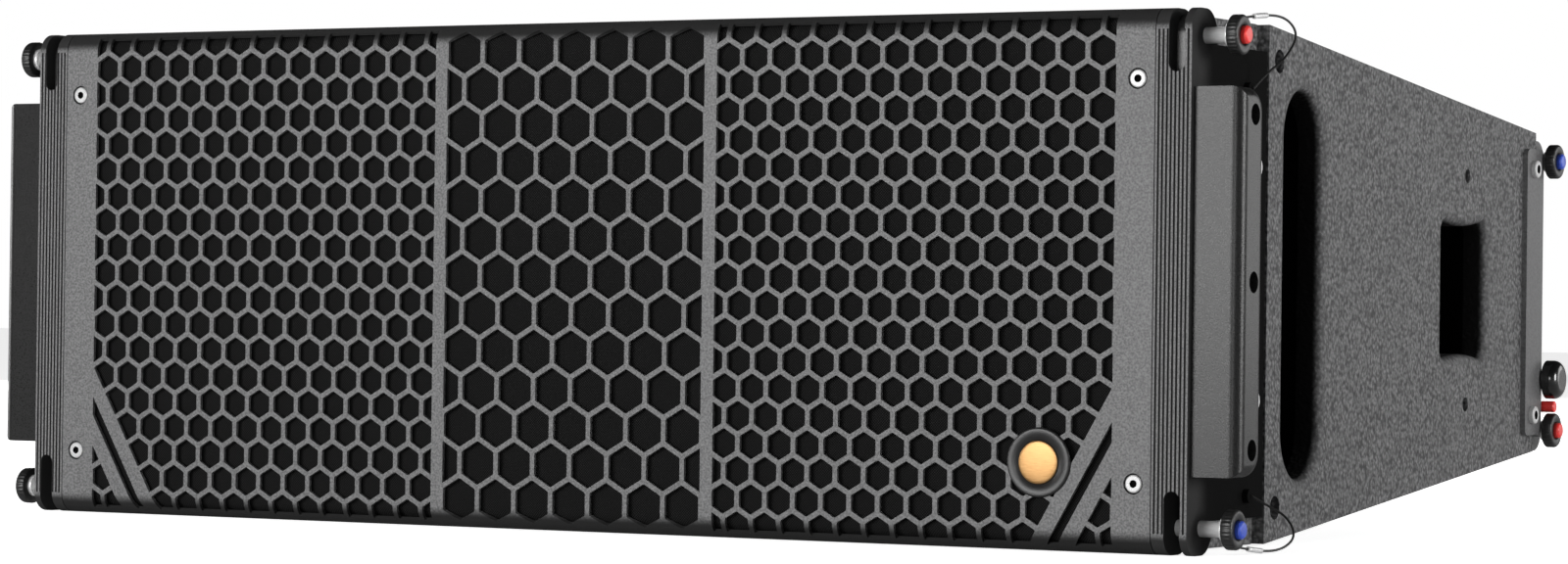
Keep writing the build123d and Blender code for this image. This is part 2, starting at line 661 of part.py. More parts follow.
# Rear rigging frame: side flange, back plate and two slotted lugs
LUG_X0, LUG_X1 = 305.0, 330.0
FLANGE = 3.0
FLANGE_D0, FLANGE_D1 = 481.0, 507.0
FLANGE_TALL = 163.0
BACK_X0 = 296.0
BACK_PLATE = 5.0
LUGS = [(34, 87), (-91, -36)]
LUG_R = DEPTH - REAR_PIN_DEPTH
REAR_SLOTS = [(0, 63), (0, -84)]
REAR_SLOT_TALL = 60.0
REAR_SLOT_D0 = REAR_PIN_DEPTH - LINK_WIDTH / 2 - LINK_GAP
KNOB_R, KNOB, KNOB_FILLET = 11.0, 9.0, 5.0
LOCK_R, LOCK_CAP_R, LOCK_CAP = 2.0, 3.2, 8.0
with BuildPart() as rear_frame:
    with BuildSketch(side(WALL_X)):
        with Locations((y((FLANGE_D0 + FLANGE_D1) / 2), z(0))):
            RectangleRounded(FLANGE_D1 - FLANGE_D0, FLANGE_TALL, 4)
        with Locations(*on_side(REAR_SCREWS)):
            Circle(SCREW_CLEAR_R, mode=Mode.SUBTRACT)
    extrude(amount=FLANGE)
    with BuildSketch(facing(FLANGE_D1, (BACK_X0 + WALL_X + 1) / 2)):
        Rectangle(WALL_X + 1 - BACK_X0, FLANGE_TALL)
    extrude(amount=BACK_PLATE)
    with BuildSketch(side(LUG_X0)):
        for z0, z1 in LUGS:
            with Locations((y((FLANGE_D1 - 1 + DEPTH) / 2), z((z0 + z1) / 2))):
                Rectangle(DEPTH - FLANGE_D1 + 1, z1 - z0)
        fillet(vertices().group_by(Axis.X)[-1], LUG_R - 0.5)
    extrude(amount=LUG_X1 - LUG_X0)
    with BuildSketch(facing(REAR_SLOT_D0, REAR_SLOT_X, 0)):
        with Locations(*REAR_SLOTS):
            Rectangle(SLOT_WIDTH, REAR_SLOT_TALL)
    extrude(amount=-(DEPTH - REAR_SLOT_D0 + 1), mode=Mode.SUBTRACT)
    with BuildSketch(side(LUG_X0)):
        for height in (REAR_UPPER, REAR_LOWER, KNOB_HEIGHT):
            with Locations((y(REAR_PIN_DEPTH), z(height))):
                Circle(BORE_R)
        with Locations((y(REAR_PIN_DEPTH), z(LOCK_HEIGHT))):
            Circle(LOCK_R + 0.05)
    extrude(amount=LUG_X1 - LUG_X0 + 10, mode=Mode.SUBTRACT)
save_pair(rear_frame.part, "rear_frame")

with BuildPart() as knob:
    with BuildSketch(side(LUG_X1 - 9)):
        with Locations((y(REAR_PIN_DEPTH), z(KNOB_HEIGHT))):
            Circle(PIN_R)
    extrude(amount=17)
    with BuildSketch(side(REAR_HEAD)):
        with Locations((y(REAR_PIN_DEPTH), z(KNOB_HEIGHT))):
            Circle(KNOB_R)
    extrude(amount=KNOB)
    fillet(knob.faces().sort_by(Axis.X)[-1].edges(), KNOB_FILLET)
save_pair(knob.part, "index_knob")

with BuildPart() as lock_button:
    with BuildSketch(side(LUG_X1 - 7)):
        with Locations((y(REAR_PIN_DEPTH), z(LOCK_HEIGHT))):
            Circle(LOCK_R)
    extrude(amount=12)
    with BuildSketch(side(LUG_X1 + 5)):
        with Locations((y(REAR_PIN_DEPTH), z(LOCK_HEIGHT))):
            Circle(LOCK_CAP_R)
    extrude(amount=LOCK_CAP)
    fillet(lock_button.faces().sort_by(Axis.X)[-1].edges(), 1)
save_pair(lock_button.part, "lock_button")

HEAD_SCREW_R, HEAD_SCREW, SHANK_R = 5.0, 2.6, 3.0
with BuildPart() as frame_screws_right:
    for places, x, under in (
        (TAIL_SCREWS, FRAME_X0 + TAIL, TAIL),
        (REAR_SCREWS, WALL_X + FLANGE, FLANGE),
    ):
        for radius, length in ((HEAD_SCREW_R, HEAD_SCREW), (SHANK_R, -under)):
            with BuildSketch(side(x)):
                with Locations(*on_side(places)):
                    Circle(radius)
            extrude(amount=length)
with BuildPart() as frame_screws:
    add(frame_screws_right.part)
    mirror(frame_screws_right.part, about=Plane.YZ)
save(frame_screws.part, "frame_screws")


# Lanyards: thin wires from the rim of each right-hand pin head to the tail plate
def wire(route, name):
    points = [(x, y(depth), z(height)) for x, depth, height in route]
    vectors = [Vector(point) for point in points]
    radii = []
    for before, corner, after in zip(vectors, vectors[1:], vectors[2:]):
        into, out = corner - before, after - corner
        turn = radians(into.get_angle(out))
        radii.append(0.45 * min(into.length, out.length) / tan(turn / 2))
    with BuildLine() as path:
        FilletPolyline(*points, radius=radii)
    with BuildPart() as tube:
        with BuildSketch(Plane(origin=path.wire() @ 0, z_dir=path.wire() % 0)):
            Circle(WIRE_R)
        sweep(path=path.wire())
    ideal = path.wire().length * pi * WIRE_R**2
    print(name, "radii", [round(r, 1) for r in radii], "volume", tube.part.volume / ideal)
    save(tube.part, name)


UPPER_LANYARD = [
    (363, 23.4, 126.6), (365, 45, 129.6), (366, 68, 129), (362, 91, 122),
    (352, 98, 111), (343, 96, 104), (337.1, 93, 96),
]
LOWER_LANYARD = [
    (363, 23.4, -126.6), (365, 46, -129.6), (366, 70, -129.2), (362, 95, -124),
    (355, 101, -115), (345, 101, -110), (337.1, 97, -105),
]
wire(UPPER_LANYARD, "upper_lanyard")
wire(LOWER_LANYARD, "lower_lanyard")
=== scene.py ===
"""Line array loudspeaker module: grille, cloth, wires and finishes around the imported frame."""
import logging
import math
from dataclasses import dataclass
from enum import Enum

import bpy
import numpy as np
from mathutils import Matrix, Vector
from mathutils.geometry import delaunay_2d_cdt

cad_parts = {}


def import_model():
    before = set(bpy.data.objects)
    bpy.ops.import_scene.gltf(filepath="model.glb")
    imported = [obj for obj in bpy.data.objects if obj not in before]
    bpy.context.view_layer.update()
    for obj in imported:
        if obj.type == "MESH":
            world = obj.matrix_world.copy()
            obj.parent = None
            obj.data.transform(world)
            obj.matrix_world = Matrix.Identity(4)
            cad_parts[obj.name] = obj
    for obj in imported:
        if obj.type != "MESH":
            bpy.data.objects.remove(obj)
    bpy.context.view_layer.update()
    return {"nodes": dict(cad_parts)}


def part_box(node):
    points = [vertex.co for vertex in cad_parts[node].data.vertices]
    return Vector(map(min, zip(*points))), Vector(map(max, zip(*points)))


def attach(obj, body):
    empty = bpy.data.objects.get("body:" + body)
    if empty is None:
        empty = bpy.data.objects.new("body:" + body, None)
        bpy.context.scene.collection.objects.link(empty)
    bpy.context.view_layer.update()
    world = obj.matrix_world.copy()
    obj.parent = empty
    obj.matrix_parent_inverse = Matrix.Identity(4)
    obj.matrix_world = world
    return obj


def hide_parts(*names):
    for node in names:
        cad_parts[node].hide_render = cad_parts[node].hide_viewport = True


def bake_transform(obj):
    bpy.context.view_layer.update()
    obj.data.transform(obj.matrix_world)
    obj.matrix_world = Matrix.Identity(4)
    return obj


LOG = logging.getLogger("line_array")
MM = 0.001
HEX = math.radians(30)
MID_HEIGHT = 131 * MM

Colour = tuple[float, float, float]
Point = tuple[float, float, float]
Sockets = tuple[tuple[str, str], ...]
Tree = bpy.types.NodeTree
Socket = bpy.types.NodeSocket


class Relief(Enum):
    """How a surface's fine relief is made."""

    GRAIN = "grain"
    PEEL = "orange peel"
    WEAVE = "weave"
    BRUSHED = "brushed"


@dataclass(frozen=True)
class Fade:
    """A colour change along an axis: distance from the middle plane, depth or mid height.

    The colour turns from the finish's own at start into another at end. Every fade in this script
    paints shade.
    """

    axis: int
    start: float
    end: float
    into: Colour


@dataclass(frozen=True)
class Finish:
    """One finish of the module.

    A finish has a base colour, a second colour that its speckle mixes in, a roughness with
    its spread, and a relief with its grain size and height in metres.
    """

    name: str
    base: Colour
    speck: Colour
    roughness: float
    spread: float = 0.06
    metallic: float = 0.0
    relief: Relief = Relief.GRAIN
    grain: float = 0.8 * MM
    height: float = 0.05 * MM
    coat: float = 0.0
    specular: float = 0.5
    fades: tuple[Fade, ...] = ()

    def material(self, effects: "Effects") -> bpy.types.Material:
        """Build the node material.

        Args:
            effects: the shared shader groups.

        Returns:
            The finished material.
        """
        made = bpy.data.materials.new(self.name)
        made.use_nodes = True
        tree = made.node_tree
        shader = tree.nodes["Principled BSDF"]
        place = tree.nodes.new("ShaderNodeTexCoord")
        effect = tree.nodes.new("ShaderNodeGroup")
        effect.node_tree = effects.group(self.relief)
        for name, value in (("Grain", self.grain), ("Base", (*self.base, 1)),
                            ("Speck", (*self.speck, 1)), ("Roughness", self.roughness),
                            ("Spread", self.spread)):
            effect.inputs[name].default_value = value
        bump = tree.nodes.new("ShaderNodeBump")
        bump.inputs["Distance"].default_value = self.height
        bump.inputs["Strength"].default_value = 1.0
        tree.links.new(place.outputs["Object"], effect.inputs["Vector"])
        colour, rough = effect.outputs["Colour"], effect.outputs["Roughness"]
        # Each fade lays painted shade over the colour, and roughens towards it.
        for fade in self.fades:
            shade = tree.nodes.new("ShaderNodeGroup")
            shade.node_tree = effects.fading(fade.axis)
            shade.inputs["From"].default_value = fade.start
            shade.inputs["To"].default_value = fade.end
            shade.inputs["Into"].default_value = (*fade.into, 1)
            tree.links.new(place.outputs["Object"], shade.inputs["Vector"])
            tree.links.new(colour, shade.inputs["Colour"])
            tree.links.new(rough, shade.inputs["Roughness"])
            colour, rough = shade.outputs["Colour"], shade.outputs["Roughness"]
        tree.links.new(colour, shader.inputs["Base Color"])
        tree.links.new(rough, shader.inputs["Roughness"])
        tree.links.new(effect.outputs["Height"], bump.inputs["Height"])
        tree.links.new(bump.outputs["Normal"], shader.inputs["Normal"])
        for name, value in (("Metallic", self.metallic), ("Coat Weight", self.coat),
                            ("Specular IOR Level", self.specular)):
            shader.inputs[name].default_value = value
        return made


class Effects:
    """Shared shader groups: one for each kind of relief, and one for each axis of a painted shade
    fade.
    """

    def __init__(self) -> None:
        """Start with no group built."""
        self._groups: dict[Relief, Tree] = {}
        self._fades: dict[int, Tree] = {}

    @staticmethod
    def _empty(name: str, inputs: Sockets, outputs: Sockets) -> tuple:
        """Make a group with its sockets.

        Args:
            name: the group's name.
            inputs: name and kind of each socket in.
            outputs: name and kind of each socket out.

        Returns:
            The group, its input node and its output node.
        """
        tree = bpy.data.node_groups.new(name, "ShaderNodeTree")
        for way, sockets in (("INPUT", inputs), ("OUTPUT", outputs)):
            for label, kind in sockets:
                tree.interface.new_socket(label, in_out=way, socket_type=f"NodeSocket{kind}")
        return tree, tree.nodes.new("NodeGroupInput"), tree.nodes.new("NodeGroupOutput")

    @staticmethod
    def _mix(tree: Tree, factor, first, second) -> Socket:
        """Add a colour mix of two sockets and return its output."""
        node = tree.nodes.new("ShaderNodeMix")
        node.data_type = "RGBA"
        tree.links.new(factor, node.inputs["Factor"])
        tree.links.new(first, node.inputs[6])
        tree.links.new(second, node.inputs[7])
        return node.outputs[2]

    def fading(self, axis: int) -> Tree:
        """Return the group that paints shade along an axis, turning one colour into another.

        Args:
            axis: 0 for the distance from the middle plane, 1 for depth, 2 for the distance
                from mid height.

        Returns:
            The shader group, with colour and roughness out.
        """
        if axis in self._fades:
            return self._fades[axis]
        tree, start, end = self._empty(
            f"painted shade along {'XYZ'[axis]}",
            (("Vector", "Vector"), ("Colour", "Color"), ("Into", "Color"), ("From", "Float"),
             ("To", "Float"), ("Roughness", "Float")),
            (("Colour", "Color"), ("Roughness", "Float")))
        split = tree.nodes.new("ShaderNodeSeparateXYZ")
        tree.links.new(start.outputs["Vector"], split.inputs[0])
        place = split.outputs[axis]
        if axis == 2:
            place = self._math(tree, "SUBTRACT", place, MID_HEIGHT)
        if axis != 1:
            place = self._math(tree, "ABSOLUTE", place, 0.0)
        ramp = tree.nodes.new("ShaderNodeMapRange")
        ramp.interpolation_type = "SMOOTHSTEP"
        tree.links.new(place, ramp.inputs["Value"])
        tree.links.new(start.outputs["From"], ramp.inputs["From Min"])
        tree.links.new(start.outputs["To"], ramp.inputs["From Max"])
        mixed = self._mix(tree, ramp.outputs[0], start.outputs["Colour"], start.outputs["Into"])
        tree.links.new(mixed, end.inputs["Colour"])
        rest = self._math(tree, "SUBTRACT", 1.0, start.outputs["Roughness"])
        more = self._math(tree, "MULTIPLY", rest, ramp.outputs[0])
        rough = self._math(tree, "ADD", more, start.outputs["Roughness"])
        tree.links.new(rough, end.inputs["Roughness"])
        self._fades[axis] = tree
        return tree

    def group(self, relief: Relief) -> Tree:
        """Return the group of a relief, built on its first use.

        Args:
            relief: the kind of relief.

        Returns:
            The shader group, with colour, roughness and height out.
        """
        if relief not in self._groups:
            self._groups[relief] = self._build(relief)
        return self._groups[relief]

    def _build(self, relief: Relief) -> Tree:
        """Build one group: a pattern drives colour, roughness and height.

        Args:
            relief: the kind of relief.

        Returns:
            The new shader group.
        """
        tree, start, end = self._empty(
            f"{relief.value} surface",
            (("Vector", "Vector"), ("Grain", "Float"), ("Base", "Color"), ("Speck", "Color"),
             ("Roughness", "Float"), ("Spread", "Float")),
            (("Colour", "Color"), ("Roughness", "Float"), ("Height", "Float")))
        scale = self._math(tree, "DIVIDE", 1.0, start.outputs["Grain"])
        pattern = {
            Relief.GRAIN: self._grain,
            Relief.PEEL: self._peel,
            Relief.WEAVE: self._weave,
            Relief.BRUSHED: self._brushed,
        }[relief](tree, start.outputs["Vector"], scale)
        cloud = self._noise(tree, start.outputs["Vector"], 9.0, 3.0)
        mixed = self._mix(tree, pattern, start.outputs["Base"], start.outputs["Speck"])
        wander = self._math(tree, "ADD", cloud, pattern)
        centred = self._math(tree, "SUBTRACT", wander, 1.0)
        swing = self._math(tree, "MULTIPLY", centred, start.outputs["Spread"])
        rough = self._math(tree, "ADD", swing, start.outputs["Roughness"])
        tree.links.new(mixed, end.inputs["Colour"])
        tree.links.new(rough, end.inputs["Roughness"])
        tree.links.new(pattern, end.inputs["Height"])
        return tree

    @staticmethod
    def _math(tree: Tree, operation: str, first, second) -> Socket:
        """Add a math node whose inputs are sockets or numbers, and return its output."""
        node = tree.nodes.new("ShaderNodeMath")
        node.operation = operation
        for socket, value in zip(node.inputs, (first, second)):
            Effects._feed(tree, socket, value)
        return node.outputs[0]

    @staticmethod
    def _feed(tree: Tree, socket: Socket, value) -> None:
        """Set a socket to a number, or link another socket to it."""
        if isinstance(value, (int, float)):
            socket.default_value = value
        else:
            tree.links.new(value, socket)

    @staticmethod
    def _noise(tree: Tree, vector, scale, detail: float) -> Socket:
        """Add a noise texture of a scale, given as a socket or a number, and return its value."""
        node = tree.nodes.new("ShaderNodeTexNoise")
        node.inputs["Detail"].default_value = detail
        tree.links.new(vector, node.inputs["Vector"])
        Effects._feed(tree, node.inputs["Scale"], scale)
        return node.outputs[0]

    def _grain(self, tree: Tree, vector, scale) -> Socket:
        """Fine powder-coat grain: a noise with its contrast raised about its mean."""
        value = self._noise(tree, vector, scale, 2.0)
        return self._contrast(tree, value, 0.34, 0.66)

    def _peel(self, tree: Tree, vector, scale) -> Socket:
        """Sprayed texture paint: smooth rounded drops over a coarser noise."""
        drops = tree.nodes.new("ShaderNodeTexVoronoi")
        drops.feature = "SMOOTH_F1"
        tree.links.new(vector, drops.inputs["Vector"])
        tree.links.new(scale, drops.inputs["Scale"])
        inverse = self._math(tree, "SUBTRACT", 1.0, drops.outputs["Distance"])
        blotch = self._noise(tree, vector, scale, 3.0)
        both = self._math(tree, "MULTIPLY", inverse, blotch)
        return self._contrast(tree, both, 0.15, 0.5)

    def _weave(self, tree: Tree, vector, scale) -> Socket:
        """Diagonal open weave: two sets of sine threads that cross at right angles."""
        split = tree.nodes.new("ShaderNodeSeparateXYZ")
        tree.links.new(vector, split.inputs[0])
        threads = []
        for operation in ("ADD", "SUBTRACT"):
            along = self._math(tree, operation, split.outputs[0], split.outputs[2])
            turns = self._math(tree, "MULTIPLY", along, scale)
            angle = self._math(tree, "MULTIPLY", turns, math.pi)
            wave = self._math(tree, "SINE", angle, 0.0)
            threads.append(self._math(tree, "ABSOLUTE", wave, 0.0))
        return self._math(tree, "MULTIPLY", threads[0], threads[1])

    def _brushed(self, tree: Tree, vector, scale) -> Socket:
        """Turned or drawn metal: a noise stretched along X."""
        stretch = tree.nodes.new("ShaderNodeMapping")
        stretch.inputs["Scale"].default_value = (0.15, 1.0, 1.0)
        tree.links.new(vector, stretch.inputs["Vector"])
        return self._contrast(tree, self._noise(tree, stretch.outputs[0], scale, 4.0), 0.3, 0.7)

    @staticmethod
    def _contrast(tree: Tree, value, low: float, high: float):
        """Stretch the range from low to high over 0 to 1 and return the socket."""
        node = tree.nodes.new("ShaderNodeMapRange")
        tree.links.new(value, node.inputs["Value"])
        node.inputs["From Min"].default_value = low
        node.inputs["From Max"].default_value = high
        return node.outputs[0]


def grey(value: float) -> Colour:
    """Neutral colour of one brightness."""
    return value, value, value


# Painted shade: from 119.5 mm to 125.5 mm above and below mid height, the grille's and the
# frame's coats turn near black over the folds.
FOLD_SHADE = Fade(2, 0.1195, 0.1255, grey(0.016))
POWDER_AND_SHADE = Finish("dark powder coat with painted fold shade", (0.085, 0.085, 0.086), (0.19, 0.19, 0.192), 0.5,
                grain=1.1 * MM, height=0.05 * MM, specular=0.3, fades=(FOLD_SHADE,))
# The frame's coat also carries painted shade: darker everywhere just behind its front face, and
# near black over the recessed tail plate from about 10 mm to 26 mm behind the front.
FRAME_COAT_AND_SHADE = Finish("rigging frame coat with painted shade", (0.11, 0.11, 0.111), (0.22, 0.22, 0.222), 0.48,
                    grain=0.9 * MM, height=0.04 * MM, specular=0.12,
                    fades=(FOLD_SHADE, Fade(1, -0.26195, -0.2614, grey(0.03)),
                           Fade(1, -0.252, -0.236, grey(0.002))))
REAR_COAT = Finish("rear rigging coat", (0.07, 0.07, 0.071), (0.12, 0.12, 0.122), 0.5,
                   grain=1.4 * MM, height=0.06 * MM)
CABINET = Finish("textured cabinet paint", (0.04, 0.04, 0.041), (0.22, 0.22, 0.222), 0.6,
                 spread=0.1, relief=Relief.PEEL, grain=2.1 * MM, height=0.45 * MM,
                 specular=0.2)
# Painted shade: the lip's paint turns near black from 0.5 mm to 5.5 mm inside the wall's face,
# going into the opening.
LIP_PAINT_AND_SHADE = Finish("cabinet paint with painted shade into an opening", (0.06, 0.06, 0.061), (0.17, 0.17, 0.172), 0.65,
             spread=0.1, relief=Relief.PEEL, grain=2.1 * MM, height=0.45 * MM, specular=0.2,
             fades=(Fade(0, 0.3335, 0.3285, grey(0.002)),))
PLYWOOD = Finish("painted plywood", grey(0.015), grey(0.025), 0.7,
                 grain=3 * MM)
MOULDED = Finish("moulded black plastic", grey(0.006), grey(0.014), 0.3,
                 grain=0.7 * MM, height=0.02 * MM, specular=0.26)
CUP = Finish("black cup plastic", grey(0.001), grey(0.002), 0.9,
             specular=0.05)
CLOTH = Finish("acoustic cloth", grey(0.001), grey(0.02), 0.95,
               relief=Relief.WEAVE, grain=1.4 * MM, height=0.25 * MM, specular=0.1)
STEEL = Finish("bright pin steel", grey(0.7), grey(0.85), 0.35, metallic=0.35,
               relief=Relief.BRUSHED, grain=0.6 * MM, height=0.01 * MM)
STAINLESS = Finish("stainless screw", grey(0.42), grey(0.6), 0.45, metallic=0.3,
                   grain=0.5 * MM, height=0.01 * MM)
BLACK_STEEL = Finish("blackened steel", grey(0.02), grey(0.05), 0.35,
                     metallic=0.6, grain=0.8 * MM, height=0.015 * MM)
GRIP = Finish("black grip plastic", grey(0.008), grey(0.016), 0.4,
              grain=0.6 * MM, height=0.02 * MM)
RED = Finish("red plastic", (0.75, 0.03, 0.03), (0.85, 0.06, 0.05), 0.35, height=0.01 * MM)
BLUE = Finish("blue plastic", (0.03, 0.07, 0.45), (0.05, 0.1, 0.55), 0.35, height=0.01 * MM)
BRONZE = Finish("satin bronze", (0.3, 0.165, 0.065), (0.4, 0.235, 0.1), 0.42, metallic=1.0,
                relief=Relief.BRUSHED, grain=0.7 * MM, height=0.015 * MM)
CAST = Finish("cast alloy", grey(0.12), grey(0.2), 0.5, metallic=0.7,
              grain=1.5 * MM, height=0.08 * MM)
PAPER = Finish("coated cone paper", grey(0.02), grey(0.045), 0.75,
               grain=2 * MM, height=0.1 * MM)
BOARD = Finish("circuit board", (0.01, 0.06, 0.03), (0.015, 0.09, 0.045), 0.45, coat=0.3)
GLOSS = Finish("black gloss plastic", grey(0.004), grey(0.008), 0.22,
               grain=1 * MM, height=0.005 * MM, coat=0.5)
WIRE = Finish("coated wire rope", grey(0.01), grey(0.03), 0.45, grain=0.5 * MM)

NODE_FINISHES: tuple[tuple[Finish, str], ...] = (
    (CABINET, "side_panel top_panel bottom_panel rear_panel"),
    (PLYWOOD, "baffle"),
    (FRAME_COAT_AND_SHADE, "end_frame"),
    (REAR_COAT, "rear_frame input_plate"),
    (MOULDED, "side_bumper input_connectors"),
    (CUP, "hand_ waveguide"),
    (STAINLESS, "grille_screws"),
    (CLOTH, "grille_foam"),
    (POWDER_AND_SHADE, "grille"),
    (RED, "front_upper_pin_button rear_lower_pin_button lock_button"),
    (BLUE, "front_lower_pin_button rear_upper_pin_button"),
    (STEEL, "front_upper_pin front_lower_pin rear_upper_pin rear_lower_pin"),
    (BLACK_STEEL, "front_link rear_link woofer_magnet bumper_screws frame_screws woofer_screws"),
    (GLOSS, "index_knob"),
    (BRONZE, "badge"),
    (PAPER, "woofer_cone"),
    (CAST, "woofer_basket compression_driver"),
    (BOARD, "crossover_board"),
    (WIRE, "upper_lanyard lower_lanyard"),
)


def put(name: str, data: bpy.types.ID, place: Matrix | None = None) -> bpy.types.Object:
    """Link a new object that shows some data to the scene, at a place if one is given."""
    made = bpy.data.objects.new(name, data)
    if place is not None:
        made.matrix_world = place
    bpy.context.scene.collection.objects.link(made)
    return made


class Workshop:
    """Makes meshes into pieces, and keeps one material for each finish."""

    def __init__(self) -> None:
        """Start with the shared effects and no materials."""
        self.effects = Effects()
        self._materials: dict[str, bpy.types.Material] = {}

    def material(self, finish: Finish) -> bpy.types.Material:
        """Return the material of a finish, built on its first use."""
        if finish.name not in self._materials:
            self._materials[finish.name] = finish.material(self.effects)
        return self._materials[finish.name]

    def piece(self, name: str, points: np.ndarray, faces: list, finish: Finish,
              smooth: bool = True) -> bpy.types.Object:
        """Make an object from points in the row frame.

        Args:
            name: the piece's name.
            points: an array of points, one row each, in metres.
            faces: tuples of point numbers.
            finish: the finish it wears.
            smooth: whether its faces are shaded smooth.

        Returns:
            The new object, linked to the scene.
        """
        mesh = bpy.data.meshes.new(name)
        mesh.from_pydata(np.asarray(points, float).tolist(), [], faces)
        mesh.polygons.foreach_set("use_smooth", [smooth] * len(mesh.polygons))
        mesh.materials.append(self.material(finish))
        mesh.update()
        LOG.info("made %s with %d faces", name, len(faces))
        return put(name, mesh)

    def dress_node(self, name: str, node: bpy.types.Object) -> None:
        """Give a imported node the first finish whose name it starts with."""
        finish = next(finish for finish, starts in NODE_FINISHES
                      if name.startswith(tuple(starts.split())))
        node.data.materials.clear()
        node.data.materials.append(self.material(finish))


def grid_faces(rows: int, columns: int, closed: bool) -> list[tuple[int, ...]]:
    """Quads of a grid of points, row by row.

    Args:
        rows: the number of rows.
        columns: the number of points in a row.
        closed: whether each row's last point joins its first.

    Returns:
        The quads, as tuples of point numbers.
    """
    spans = columns if closed else columns - 1
    row, column = np.meshgrid(np.arange(rows - 1), np.arange(spans), indexing="ij")
    after = (column + 1) % columns
    quads = np.stack([row * columns + column, row * columns + after,
                      (row + 1) * columns + after, (row + 1) * columns + column], -1)
    return [tuple(quad) for quad in quads.reshape(-1, 4).tolist()]


def lathe(radii: np.ndarray, offsets: np.ndarray, base: Point, axis: Point,
          turns: int = 40) -> tuple[np.ndarray, list]:
    """Surface of revolution: each profile point's radius turned about the axis.

    Args:
        radii: the profile's radii, zero at both ends for a closed piece.
        offsets: the profile's places along the axis from base.
        base: the point that offsets count from.
        axis: the direction of the axis.
        turns: the number of points around.

    Returns:
        The points and the quads.
    """
    along = Vector(axis).normalized()
    side = along.orthogonal().normalized()
    other = along.cross(side)
    angle = np.linspace(0, 2 * math.pi, turns, endpoint=False)
    ring = np.outer(np.cos(angle), side) + np.outer(np.sin(angle), other)
    points = (np.array(base) + offsets[:, None, None] * np.array(along)
              + radii[:, None, None] * ring[None])
    return points.reshape(-1, 3), grid_faces(len(radii), turns, True)


